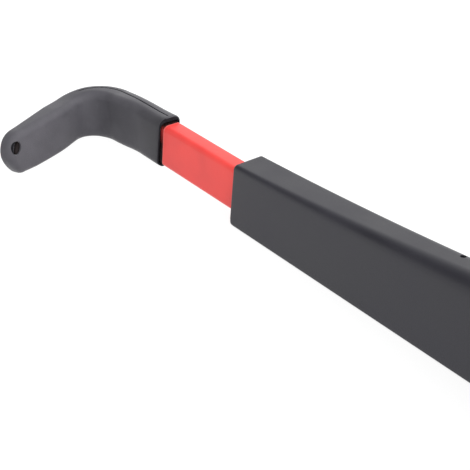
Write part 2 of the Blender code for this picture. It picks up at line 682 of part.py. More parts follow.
def wafer_slot(y):
    thick = WAFER_THICK / 2 + SIDE_GAP
    return tool(lock_box(WAFER_WIDTH / 2 + SIDE_GAP, y - thick, y + thick,
                         AXIS_Z - BOSS_RADIUS, AXIS_Z + BOSS_RADIUS))


shape(key_plug, [keyway] + [wafer_slot(y) for y in WAFER_YS])

# Wafers, each with its window at its own height
wafers = []
for k, y in enumerate(WAFER_YS):
    blank = lock_box(WAFER_WIDTH / 2, y - WAFER_THICK / 2, y + WAFER_THICK / 2,
                     AXIS_Z - WAFER_TALL / 2, AXIS_Z + WAFER_TALL / 2)
    wafer = put("wafer_%d" % (k + 1), blank, BRASS, 1.0, 0.35)
    middle = AXIS_Z + WAFER_STEP * ((2 * k) % 5 - 2)
    window = lock_box(KEYWAY_WIDTH / 2 + LOOSE_GAP, y - WAFER_THICK, y + WAFER_THICK,
                      middle - WAFER_WINDOW / 2, middle + WAFER_WINDOW / 2)
    wafers.append(shape(wafer, [tool(window)]))


# Open clip that holds the plug in the barrel
def clip():
    steps = 30
    inner = PLUG_NECK + SIDE_GAP
    outer = PLUG_RADIUS + CLIP_REACH
    low = DISC_END + FIT_GAP
    section = ((inner, low), (outer, low), (outer, low + CLIP_THICK), (inner, low + CLIP_THICK))
    rings = []
    for k in range(steps + 1):
        a = math.radians(CLIP_MOUTH / 2 + (360 - CLIP_MOUTH) * k / steps)
        rings.append([along_y(LOCK_X + r * math.cos(a), AXIS_Z + r * math.sin(a), y) for r, y in section])
    return skin(rings)


plug_clip = put("plug_clip", clip(), STEEL, 1.0, 0.3)


# Each moving group hangs on an empty on its own axis
def carry(name, place, pieces):
    pivot = bpy.data.objects.new(name, None)
    bpy.context.scene.collection.objects.link(pivot)
    spot = Vector(place) - Vector((ORIGIN_IN, 0, 0))
    pivot.location = spot
    for piece in pieces:
        piece.parent = pivot
        piece.matrix_parent_inverse = Matrix.Translation(-spot)


carry("bar_slide_axis", (0, 0, ZC), [slide_bar, slide_hook_cover, stop_pin])
carry("key_turn_axis", (LOCK_X, 0, AXIS_Z), [key_plug, plug_clip] + wafers)
carry("bolt_drop_axis", (LOCK_X, 0, TOOTH_TIP), [locking_bolt])

for obj in bpy.data.objects:
    if obj.type == "MESH":
        obj.data.shade_smooth()
        obj.data.set_sharp_from_angle(angle=math.radians(SMOOTH_ANGLE))
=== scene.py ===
import json
import math

import bmesh
import bpy
import numpy as np
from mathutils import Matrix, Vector


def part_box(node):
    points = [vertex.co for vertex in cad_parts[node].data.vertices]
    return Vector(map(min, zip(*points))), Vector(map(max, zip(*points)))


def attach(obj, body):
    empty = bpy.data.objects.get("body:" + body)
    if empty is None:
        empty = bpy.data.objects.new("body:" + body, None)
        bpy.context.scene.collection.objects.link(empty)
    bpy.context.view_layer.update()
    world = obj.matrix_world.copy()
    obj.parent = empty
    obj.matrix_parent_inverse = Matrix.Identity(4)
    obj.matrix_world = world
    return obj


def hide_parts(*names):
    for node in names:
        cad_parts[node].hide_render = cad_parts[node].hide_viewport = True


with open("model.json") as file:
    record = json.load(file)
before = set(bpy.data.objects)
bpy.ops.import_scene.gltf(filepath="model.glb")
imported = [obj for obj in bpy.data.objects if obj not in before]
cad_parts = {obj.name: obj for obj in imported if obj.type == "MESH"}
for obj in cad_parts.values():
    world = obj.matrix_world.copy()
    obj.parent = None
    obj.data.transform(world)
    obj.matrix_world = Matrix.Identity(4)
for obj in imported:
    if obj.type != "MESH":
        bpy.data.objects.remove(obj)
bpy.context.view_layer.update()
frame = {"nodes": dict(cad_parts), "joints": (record.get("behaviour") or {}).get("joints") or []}  # one object for each node
nodes = frame["nodes"]


def nodeBox(name):
    low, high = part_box(name)
    return np.array(low), np.array(high)


# places read from the frame
tubeLow, tubeHigh = nodeBox("guide_tube")
coverLow, coverHigh = nodeBox("slide_hook_cover")
farCoverHigh = nodeBox("fixed_hook_cover")[1]
slideHigh = nodeBox("slide_bar")[1]
fixedLow = nodeBox("fixed_bar")[0]
sleeveHigh = nodeBox("front_sleeve")[1]
caseLow, caseHigh = nodeBox("lock_case")
plateHigh = nodeBox("case_plate")[1]
keyJoint = next(j for j in frame["joints"] if j["name"] == "key_turn")
lockX, lockZ = keyJoint["pos_m"][0], keyJoint["pos_m"][2]
barMid = (tubeLow[2] + tubeHigh[2]) / 2  # height of both bars' middle line
barHalf = {"height": slideHigh[2] - barMid, "thick": slideHigh[1]}
mirrorSum = coverLow[0] + farCoverHigh[0]  # the far hook is the near one at mirrorSum - x
slideGap = 0.0003  # room round the bars and the pins in them


# mesh helpers

softAngle = 38  # degrees; an edge that turns less is shaded smooth
weld = {"near": 2e-6, "sliver": 1e-6}  # points nearer than this merge, narrower faces go


# Skin over a stack of rings, given as an array (ring, point, 3); loop joins the last ring to the first.
# Rings that close to a line or a point are welded, so seams and poles are shut.
def skin(name, rings, loop=False, marks=None, sharp=softAngle):
    rows, cols = rings.shape[:2]
    index = np.arange(rows * cols).reshape(rows, cols)
    near = index if loop else index[:-1]
    far = np.roll(index, -1, 0) if loop else index[1:]
    quads = np.stack([near, np.roll(near, -1, 1), np.roll(far, -1, 1), far], axis=-1).reshape(-1, 4)
    mesh = bpy.data.meshes.new(name)
    mesh.from_pydata(rings.reshape(-1, 3).tolist(), [], quads.tolist())
    for mark, values in (marks or {}).items():
        layer = mesh.attributes.new(mark, "FLOAT", "POINT")
        layer.data.foreach_set("value", np.broadcast_to(values, (rows, cols)).astype(np.float32).ravel())
    shell = bmesh.new()
    shell.from_mesh(mesh)
    bmesh.ops.remove_doubles(shell, verts=shell.verts, dist=weld["near"])
    bmesh.ops.dissolve_degenerate(shell, edges=shell.edges, dist=weld["sliver"])
    bmesh.ops.recalc_face_normals(shell, faces=shell.faces)
    shell.to_mesh(mesh)
    shell.free()
    piece = bpy.data.objects.new(name, mesh)
    bpy.context.scene.collection.objects.link(piece)
    smooth(piece, sharp)
    return piece


def smooth(piece, sharp):
    piece.data.shade_smooth()
    piece.data.set_sharp_from_angle(angle=math.radians(sharp))


# Cuts tools out of a piece, or joins them to it, and keeps the plain mesh
def carve(piece, tools, operation="DIFFERENCE", sharp=softAngle):
    for tool in tools:
        step = piece.modifiers.new("carve", "BOOLEAN")
        step.operation = operation
        step.solver = "EXACT"
        step.object = tool
    graph = bpy.context.evaluated_depsgraph_get()
    made = bpy.data.meshes.new_from_object(piece.evaluated_get(graph))
    piece.modifiers.clear()
    piece.data = made
    for tool in tools:
        bpy.data.objects.remove(tool, do_unlink=True)
    smooth(piece, sharp)
    return piece


# Polyline with each inner corner swapped for a curve: (1-t)^2 a + 2t(1-t) corner + t^2 b, where a and b
# lie `soft` before and after the corner, but never past the share `most` of a side
def softLine(corners, soft, steps=5, closed=False, most=0.45):
    corners = np.array(corners, float)
    before = np.roll(corners, 1, 0) - corners
    after = np.roll(corners, -1, 0) - corners
    lengthBefore = np.linalg.norm(before, axis=1, keepdims=True)
    lengthAfter = np.linalg.norm(after, axis=1, keepdims=True)
    start = corners + before / lengthBefore * np.minimum(soft, most * lengthBefore)
    end = corners + after / lengthAfter * np.minimum(soft, most * lengthAfter)
    t = np.linspace(0, 1, steps)[None, :, None]
    curve = (1 - t) ** 2 * start[:, None] + 2 * t * (1 - t) * corners[:, None] + t ** 2 * end[:, None]
    if closed:
        return curve.reshape(-1, 2)
    return np.vstack([corners[:1], curve[1:-1].reshape(-1, 2), corners[-1:]])


# Turned shape: each profile point (radius, distance) becomes a circle round the axis
def turned(name, profile, centre, axis="y", sides=96, loop=False):
    radius, along = np.array(profile).T[:, :, None]
    angle = np.arange(sides) * 2 * np.pi / sides
    first = centre[0] + radius * np.cos(angle)
    second = centre[1] + radius * np.sin(angle)
    along = np.broadcast_to(along, first.shape)
    order = [first, along, second] if axis == "y" else [first, second, along]
    return skin(name, np.stack(order, axis=-1), loop)


# Round bar between two distances along its axis, with softened rims if soft is given
def roundBar(name, radius, start, end, centre, axis="y", sides=32, soft=None):
    profile = [(0, start), (radius, start), (radius, end), (0, end)]
    return turned(name, softLine(profile, soft) if soft else profile, centre, axis, sides)


# Rounded rectangle for every ring: quarter circles at the four corners, straight shares between them
def roundedRing(halfY, low, high, upper, lower, front=None, cornerSteps=9, sideSteps=12):
    front = upper if front is None else front  # radius of the top corner on the hooks' side
    halfY, low, high, upper, lower, front = np.broadcast_arrays(
        *map(np.atleast_1d, (halfY, low, high, upper, lower, front)))
    radius = np.stack([upper, front, lower, lower], 1)[:, :, None]
    middleY = np.stack([halfY - upper, front - halfY, lower - halfY, halfY - lower], 1)[:, :, None]
    middleZ = np.stack([high - upper, high - front, low + lower, low + lower], 1)[:, :, None]
    turn = (np.arange(4)[:, None] + np.linspace(0, 1, cornerSteps)) * np.pi / 2
    share = np.linspace(0, 1, sideSteps + 2)[1:-1]

    def run(middle, wave):
        arc = middle + radius * wave
        last = arc[:, :, -1:]
        side = last + (np.roll(arc[:, :, :1], -1, 1) - last) * share
        return np.concatenate([arc, side], 2).reshape(len(halfY), -1)

    return run(middleY, np.cos(turn)), run(middleZ, np.sin(turn))


# Block with rounded edges: a rounded rectangle carried along x, drawn in at both ends and shut to a line
def block(name, low, high, edge):
    low, high = np.array(low), np.array(high)
    swing = np.linspace(0, np.pi / 2, 5)
    inset = edge * np.concatenate([[1], 1 - np.sin(swing), 1 - np.sin(swing)[::-1], [1]])
    x = np.concatenate([[low[0]], low[0] + edge * (1 - np.cos(swing)),
                        high[0] - edge * (1 - np.cos(swing))[::-1], [high[0]]])
    middle, half = (low[1] + high[1]) / 2, (high[1] - low[1]) / 2
    corner = np.maximum(edge - inset / 2, edge / 4)
    y, z = roundedRing(half - inset, low[2] + inset, high[2] - inset, corner, corner,
                       cornerSteps=5, sideSteps=4)
    z[[0, -1]] = (low[2] + high[2]) / 2
    return skin(name, np.stack([np.broadcast_to(x[:, None], y.shape), y + middle, z], -1))


# Gives a piece its body, node, slot and finish; faces whose mark averages over a half take the second finish
def settle(piece, body, node, finish, mark=None, second=None):
    mesh = piece.data
    mesh.materials.clear()
    mesh.materials.append(finish)
    if mark:
        mesh.materials.append(second)
        values = np.zeros(len(mesh.vertices), np.float32)
        corner = np.zeros(len(mesh.loops), np.int32)
        start, count = np.zeros((2, len(mesh.polygons)), np.int32)
        mesh.attributes[mark].data.foreach_get("value", values)
        mesh.loops.foreach_get("vertex_index", corner)
        mesh.polygons.foreach_get("loop_start", start)
        mesh.polygons.foreach_get("loop_total", count)
        share = np.add.reduceat(values[corner], start) / count
        mesh.polygons.foreach_set("material_index", (share > 0.5).astype(np.int32))
    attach(piece, body)
    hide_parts(node)


# finishes

def newFinish(name, **sockets):
    finish = bpy.data.materials.new(name)
    finish.use_nodes = True
    tree = finish.node_tree
    shader = tree.nodes["Principled BSDF"]
    for socket, value in sockets.items():
        shader.inputs[socket.replace("_", " ")].default_value = value
    return finish, tree, shader


def addNode(tree, kind, **sockets):
    node = tree.nodes.new("ShaderNode" + kind)
    for socket, value in sockets.items():
        node.inputs[socket.replace("_", " ")].default_value = value
    return node


# Noise on the piece's own coordinates; size is the width of one grain in metres along x, y and z
def grain(tree, size, detail=2.0, rough=0.5):
    where = addNode(tree, "TexCoord")
    fit = addNode(tree, "Mapping", Scale=tuple(1 / s for s in size))
    noise = addNode(tree, "TexNoise", Scale=1.0, Detail=detail, Roughness=rough)
    tree.links.new(where.outputs["Object"], fit.inputs["Vector"])
    tree.links.new(fit.outputs["Vector"], noise.inputs["Vector"])
    return noise.outputs["Fac"]


# Carries the range start to end over to low to high; noise lies mostly between 0.3 and 0.7
def spread(tree, source, low, high, start=0.3, end=0.7):
    fit = addNode(tree, "MapRange", From_Min=start, From_Max=end, To_Min=low, To_Max=high)
    tree.links.new(source, fit.inputs["Value"])
    return fit.outputs["Result"]


def blendColours(tree, share, first, second):
    mix = tree.nodes.new("ShaderNodeMix")
    mix.data_type = "RGBA"
    tree.links.new(share, mix.inputs["Factor"])
    for socket, colour in ((mix.inputs[6], first), (mix.inputs[7], second)):
        if isinstance(colour, tuple):
            socket.default_value = (*colour, 1)
        else:
            tree.links.new(colour, socket)
    return mix.outputs[2]


def relief(tree, shader, height, depth, strength):
    bump = addNode(tree, "Bump", Strength=strength, Distance=depth)
    tree.links.new(height, bump.inputs["Height"])
    tree.links.new(bump.outputs["Normal"], shader.inputs["Normal"])


def readMark(tree, name):
    mark = tree.nodes.new("ShaderNodeAttribute")
    mark.attribute_name = name
    return mark.outputs["Fac"]


mouldingLook = {"dark": (0.0110, 0.0105, 0.0160), "light": (0.0165, 0.0158, 0.0230), "specular": 0.45,
                "cloud": 0.030, "rough": (0.44, 0.54), "grain": 0.00045, "depth": 0.00010, "strength": 0.6}


def mouldingFinish():
    look = mouldingLook
    finish, tree, shader = newFinish("satinMoulding", Specular_IOR_Level=look["specular"])
    cloud = grain(tree, (look["cloud"],) * 3, detail=4)
    speck = grain(tree, (look["grain"],) * 3, detail=3, rough=0.6)
    colour = blendColours(tree, spread(tree, cloud, 0, 1), look["dark"], look["light"])
    tree.links.new(colour, shader.inputs["Base Color"])
    tree.links.new(spread(tree, cloud, *look["rough"]), shader.inputs["Roughness"])
    relief(tree, shader, speck, look["depth"], look["strength"])
    return finish


rubberLook = {"dark": (0.049, 0.0475, 0.0550), "light": (0.066, 0.0641, 0.0732),
              "seamAndShade": (0.006, 0.006, 0.007), "specular": 0.17, "sheen": 0.32, "sheenRough": 0.30,
              "cloud": 0.014, "rough": (0.48, 0.62), "grain": 0.0006, "depth": 0.00013, "strength": 0.6}


# The seam mark blends the rubber into near black as painted shade: in the parting line's groove, on the rim,
# in the hollow, on the hole's walls and on the cuff's front towards the rim
def rubberFinish():
    look = rubberLook
    finish, tree, shader = newFinish("mouldedRubber", Specular_IOR_Level=look["specular"],
                                     Sheen_Weight=look["sheen"], Sheen_Roughness=look["sheenRough"])
    cloud = grain(tree, (look["cloud"],) * 3, detail=5, rough=0.6)
    speck = grain(tree, (look["grain"],) * 3, detail=3, rough=0.6)
    bloom = blendColours(tree, spread(tree, cloud, 0, 1), look["dark"], look["light"])
    colour = blendColours(tree, readMark(tree, "seamAndShade"), bloom, look["seamAndShade"])
    tree.links.new(colour, shader.inputs["Base Color"])
    tree.links.new(spread(tree, cloud, *look["rough"]), shader.inputs["Roughness"])
    relief(tree, shader, speck, look["depth"], look["strength"])
    return finish


paintLook = {"dark": (0.66, 0.053, 0.048), "light": (0.75, 0.064, 0.056), "bareAndShadow": (0.020, 0.009, 0.008),
             "bareAndShadowFull": 0.4, "ridgeHighlight": (0.80, 0.17, 0.16), "specular": 0.22, "cloud": 0.020,
             "rough": (0.30, 0.40), "peel": 0.0022, "depth": 0.00006, "strength": 0.5}


# The ridge mark paints a highlight line on the paint near its edge; the bare mark turns the paint into dark
# steel, bare inside the cover and as painted shadow next to the cuff
def paintFinish():
    look = paintLook
    finish, tree, shader = newFinish("redPaint", Specular_IOR_Level=look["specular"])
    cloud = grain(tree, (look["cloud"],) * 3, detail=3)
    peel = grain(tree, (look["peel"],) * 3, detail=1)
    red = blendColours(tree, spread(tree, cloud, 0, 1), look["dark"], look["light"])
    edge = blendColours(tree, readMark(tree, "ridgeHighlight"), red, look["ridgeHighlight"])
    bareAndShadow = spread(tree, readMark(tree, "bareAndShadow"), 0, 1, 0, look["bareAndShadowFull"])
    colour = blendColours(tree, bareAndShadow, edge, look["bareAndShadow"])
    tree.links.new(colour, shader.inputs["Base Color"])
    tree.links.new(spread(tree, cloud, *look["rough"]), shader.inputs["Roughness"])
    relief(tree, shader, peel, look["depth"], look["strength"])
    return finish


dullLook = {"specular": 0.04, "rough": 0.8, "stain": 0.002, "depth": 0.00003, "strength": 0.4}


# Dull dark surface that light hardly reaches. As shaded rubber it is painted shade on the cuff's rim, in the
# cover's hollow and in the parting line's groove; as scaled steel it is the bar's own dark steel inside its
# cover and painted shadow on the paint next to the cuff
def dullFinish(name, dark, light):
    look = dullLook
    finish, tree, shader = newFinish(name, Specular_IOR_Level=look["specular"], Roughness=look["rough"])
    stain = grain(tree, (look["stain"],) * 3, detail=4)
    colour = blendColours(tree, spread(tree, stain, 0, 1), dark, light)
    tree.links.new(colour, shader.inputs["Base Color"])
    relief(tree, shader, stain, look["depth"], look["strength"])
    return finish


streakLook = {"stain": 0.006, "depth": 0.00002, "strength": 0.5}


# Drawn, turned or cast surface: lines of the given size vary its gloss, and stains its shade
def streakFinish(name, dark, light, rough, lines, metallic=1.0):
    look = streakLook
    finish, tree, shader = newFinish(name, Metallic=metallic)
    streak = grain(tree, lines, detail=3)
    stain = grain(tree, (look["stain"],) * 3, detail=4)
    colour = blendColours(tree, spread(tree, stain, 0, 1), dark, light)
    tree.links.new(colour, shader.inputs["Base Color"])
    tree.links.new(spread(tree, streak, *rough), shader.inputs["Roughness"])
    relief(tree, shader, streak, look["depth"], look["strength"])
    return finish


satinMoulding = mouldingFinish()
mouldedRubber = rubberFinish()
redPaint = paintFinish()
shadedRubber = dullFinish("shadedRubber", (0.009, 0.009, 0.011), (0.015, 0.015, 0.018))
scaledSteelAndShadow = dullFinish("scaledSteelAndShadow", (0.011, 0.009, 0.009), (0.019, 0.015, 0.016))
drawnSteel = streakFinish("drawnSteel", (0.42, 0.43, 0.45), (0.58, 0.59, 0.61), (0.28, 0.42),
                          (0.02, 0.0002, 0.0002))
blackZinc = streakFinish("blackZinc", (0.030, 0.030, 0.033), (0.050, 0.050, 0.054), (0.34, 0.46),
                         (0.0005, 0.0005, 0.0005), metallic=0.35)
turnedBrass = streakFinish("turnedBrass", (0.58, 0.40, 0.15), (0.74, 0.56, 0.26), (0.24, 0.38),
                           (0.0002, 0.008, 0.0002))
brightNickel = streakFinish("brightNickel", (0.62, 0.62, 0.63), (0.76, 0.76, 0.77), (0.10, 0.20),
                            (0.0003, 0.006, 0.0003))
greyNylon = streakFinish("greyNylon", (0.050, 0.050, 0.054), (0.075, 0.075, 0.080), (0.44, 0.56),
                         (0.0006, 0.0006, 0.0006), metallic=0.0)
print("finishes:", len(bpy.data.materials))


# the two hooks

hookPath = {"straight": 0.0451, "radius": 0.01875, "turn": math.radians(117), "leg": 0.0557,
            "taper": 0.0018, "evenBefore": 0.014, "changeOver": 0.8, "thin": 0.0038, "thinOver": 0.046,
            "legDrop": 0.0013, "dip": 0.0009, "dipOver": 0.0165}
hookArc = hookPath["radius"] * hookPath["turn"]
bendX = coverHigh[0] - hookPath["straight"]
cuffStart = -hookPath["straight"]
coverEnd = hookArc + hookPath["leg"]


# Path of the hook: a straight, a bend of constant radius and a straight leg. s runs from the bend's start,
# u is the distance to the outer side of the bend and v the height over the bar's middle.
def onHook(s, u, v, mirrored):
    turn = np.clip(s / hookPath["radius"], 0, hookPath["turn"])
    past = s - turn * hookPath["radius"]
    x = bendX - (hookPath["radius"] + u) * np.sin(turn) - past * np.cos(turn)
    y = (hookPath["radius"] + u) * np.cos(turn) - hookPath["radius"] - past * np.sin(turn)
    x, y, z = np.broadcast_arrays(mirrorSum - x if mirrored else x, y, barMid + v)
    return np.stack([x, y, z], axis=-1)


# Loss of half height, linear from a third of the way round the bend to a little before the leg's end
def legTaper(s):
    start = hookArc / 3
    return hookPath["taper"] * np.clip((s - start) / (coverEnd - hookPath["evenBefore"] - start), 0, 1)


# Share of the change from straight to leg: 0 up to the bend's middle, then linear to 1 early on the leg
def onLeg(s):
    return np.clip((s - hookArc / 2) / (hookPath["changeOver"] * hookArc), 0, 1)


# Loss of thickness on the leg's inner face towards the tip, eased in as t^2 (3-2t)
def legThinning(s):
    t = np.clip((s - coverEnd) / hookPath["thinOver"] + 1, 0, 1)
    return hookPath["thin"] * t ** 2 * (3 - 2 * t)


# Drop of the top edge: a share of the leg's way plus a dip (1-t^2)^2 where the bend runs out
def topDrop(s):
    t = (s - hookArc) / hookPath["dipOver"]
    return hookPath["legDrop"] * onLeg(s) + hookPath["dip"] * np.maximum(0, 1 - t ** 2) ** 2


# Blunt tip of a plate: where it starts, its length and the power of its outline
def bluntTip(end, nose, power):
    return {"start": end - nose, "nose": nose, "power": power}


# Stations along a tip, spaced as a sine, so they crowd towards its end
def tipStations(tip, steps):
    return tip["start"] + tip["nose"] * np.sin(np.linspace(0, np.pi / 2, steps))


plateGrid = {"flat": 7, "round": 11, "seamHalf": 0.00048, "markGain": 1.8, "markFrom": 0.0001,
             "leanPower": 1.3, "band": np.array([-1.5, -1, -0.7, -0.3, 0.3, 0.7, 1, 1.5])}


# Flat plate with filleted edges on the hook path. A point at inset d from the edge stands
# r - sqrt(r^2 - (r-d)^2) short of the face, which makes a fillet of radius r. Past the tip's start the inset
# is measured to the curve |v/half|^p + |past/nose|^p = 1, so the fillet runs on round a blunt tip until the
# ring shuts to a line. A band along the top and bottom edges takes a groove (1-b^2) times the seam depth
# deep, and a mark that paints shade into the groove. slant shifts the stations with height, and lean draws
# the lower half back as (depth/half)^1.3.
def plateRings(s, top, low, inner, outer, filletIn, filletOut, tip, mirrored, seamAndShade=0.0, shift=0.0, slant=0.0,
               filletLow=None, lean=0.0):
    filletLow = filletIn if filletLow is None else filletLow
    given = (s, top, low, inner, outer, filletIn, filletOut, seamAndShade, shift, slant, filletLow, lean)
    columns = np.broadcast_arrays(*[np.atleast_1d(a).astype(float) for a in given])
    (s, top, low, inner, outer, filletIn, filletOut, seamAndShade, shift, slant,
     filletLow, lean) = [a[:, None] for a in columns]
    middle, half, power = (top - low) / 2, (top + low) / 2, tip["power"]
    past = np.maximum(s - tip["start"], 0) * half / tip["nose"]
    reach = np.maximum(half - past, 0)
    flat = np.linspace(0, 1, plateGrid["flat"], endpoint=False)
    curl = np.linspace(1, 0, plateGrid["round"])

    def riseAt(inset):
        return np.maximum(np.maximum(half - inset, 0) ** power - past ** power, 0) ** (1 / power)

    def side(fillet):
        knee = np.minimum(reach, fillet)
        swing = np.arccos(1 - knee / fillet)
        inset = np.hstack([reach + (knee - reach) * flat, fillet * (1 - np.cos(swing * curl))])
        short = fillet - np.sqrt(np.maximum(fillet ** 2 - np.maximum(fillet - inset, 0) ** 2, 0))
        return riseAt(inset), short

    band = np.broadcast_to(plateGrid["band"], (len(s), len(plateGrid["band"])))
    groove = seamAndShade * np.maximum(0, 1 - band ** 2)
    bandRise = riseAt(groove)
    riseIn, shortIn = side(filletIn)
    riseLow, shortLow = side(filletLow)
    riseOut, shortOut = side(filletOut)
    front, under, back = shortIn - inner, shortLow - inner, outer - shortOut
    band = band * plateGrid["seamHalf"] + shift
    u = np.hstack([front, band, back[:, ::-1], back[:, 1:], band[:, ::-1], under[:, :0:-1]])
    v = middle + np.hstack([riseIn, bandRise, riseOut[:, ::-1], -riseOut[:, 1:], -bandRise[:, ::-1],
                            -riseLow[:, :0:-1]])
    still = np.zeros_like(riseIn)
    deepest = np.maximum(seamAndShade, 1e-9)  # never 0, as plain plates have no seam
    depth = np.clip(plateGrid["markGain"] * groove / deepest, 0, 1)
    depth = depth * np.clip(seamAndShade / plateGrid["markFrom"], 0, 1)
    seamAndShadeMark = np.hstack([still, depth, still, still[:, 1:], depth[:, ::-1], still[:, 1:]])
    leaned = s - slant * v - lean * (np.maximum(-v, 0) / half) ** plateGrid["leanPower"]
    return onHook(leaned, u, v, mirrored), seamAndShadeMark


barSize = {"corner": 0.0028, "backCorner": 0.0012, "legFront": 0.0034, "legBack": 0.0026, "spare": 0.0004,
           "bandShift": 0.0004, "edge": 0.0006, "tipBack": 0.0042, "tipNose": 0.0107, "tipPower": 2.0,
           "paintIn": 0.006, "ridgeHighlight": 0.0021, "ridgeStep": 0.0003, "ridgeHalf": 0.0005, "slantReach": 0.02,
           "cuffShadow": 0.13, "cuffShadowFall": 0.6, "cuffShadowTop": 0.3, "cuffShadowTopOver": 0.12, "cuffShadowEase": 0.0006,
           "notchFlat": 0.0030, "notchDeep": 0.00423, "notchRight": 0.0026, "notchPitch": 0.010,
           "notchOut": 9, "notchIn": 6, "notchGap": 0.0004, "hair": 0.00004, "holeHalf": 0.02, "sharp": 32}


# Corner radii of the bar: the inner ones are larger on the straight, and both change to the leg's own
def frontCorner(s):
    return barSize["corner"] + (barSize["legFront"] - barSize["corner"]) * onLeg(s)


def backCorner(s):
    return barSize["backCorner"] + (barSize["legBack"] - barSize["backCorner"]) * onLeg(s)


coverSize = {"top": 0.0016, "low": 0.0020, "side": 0.0012, "longer": 0.0012, "nose": 0.0115, "power": 2.5,
             "fillet": 0.0047, "legFront": 0.0044, "legBack": 0.0026, "legUnder": 0.0028, "legLow": 0.0014,
             "filletRoom": 0.0008, "evenOver": 0.8, "bend": 0.0030, "swellAt": 0.0038, "swellOver": 0.028,
             "crown": 0.0007, "crownAt": -0.014, "crownOver": 0.024, "lean": 0.0060, "leanOver": 0.017,
             "cuffTop": 0.0022, "cuffLow": -0.0008, "cuffSide": 0.0008, "slant": 0.14, "slantFade": 0.035,
             "seamAndShade": 0.00022, "seamStart": 0.0012, "seamEase": 0.001, "seamStop": 0.8, "seamFade": 0.008,
             "bandShift": 0.0028, "lip": 0.0011, "rimFrom": 0.4, "rimShade": 0.8, "shade": 0.48,
             "shadeOver": 0.019, "shadePower": 1.2, "shadeDepth": 0.005, "throat": 0.0009, "throatEnd": 0.003,
             "hollowBack": 0.0039, "hollowNose": 0.011, "hollowPower": 2.0, "holeWide": 0.0034,
             "holeTall": 0.0038, "holeFromTip": 0.0053, "holeUp": 0.0036, "holeDeep": 0.0090,
             "holeShade": 0.42}


# Slant of the cuff's end, fading linearly along the straight
def cuffSlant(s):
    return coverSize["slant"] * np.maximum(0, 1 - (s - cuffStart) / coverSize["slantFade"])


# Hollow of the cover: the bar's own plate plus a gap, wider at the throat
def coverHollow(mirrored):
    size = coverSize
    tip = bluntTip(coverEnd - size["hollowBack"], size["hollowNose"], size["hollowPower"])
    s = np.concatenate([[cuffStart, cuffStart + size["throat"]],
                        np.linspace(cuffStart + size["throatEnd"], 0, 12), np.linspace(0, hookArc, 24)[1:],
                        np.linspace(hookArc, tip["start"], 8)[1:], tipStations(tip, 14)[1:]])
    wide = np.zeros(len(s))
    wide[0] = size["throat"]
    half = barHalf["height"] + slideGap + wide - legTaper(s)
    side = barHalf["thick"] + slideGap + wide
    inner = side - legThinning(s)
    return plateRings(s, half - topDrop(s), half, inner, side,
                      np.minimum(frontCorner(s) + wide, inner - barSize["spare"]), backCorner(s) + wide,
                      tip, mirrored, shift=barSize["bandShift"], slant=cuffSlant(s))


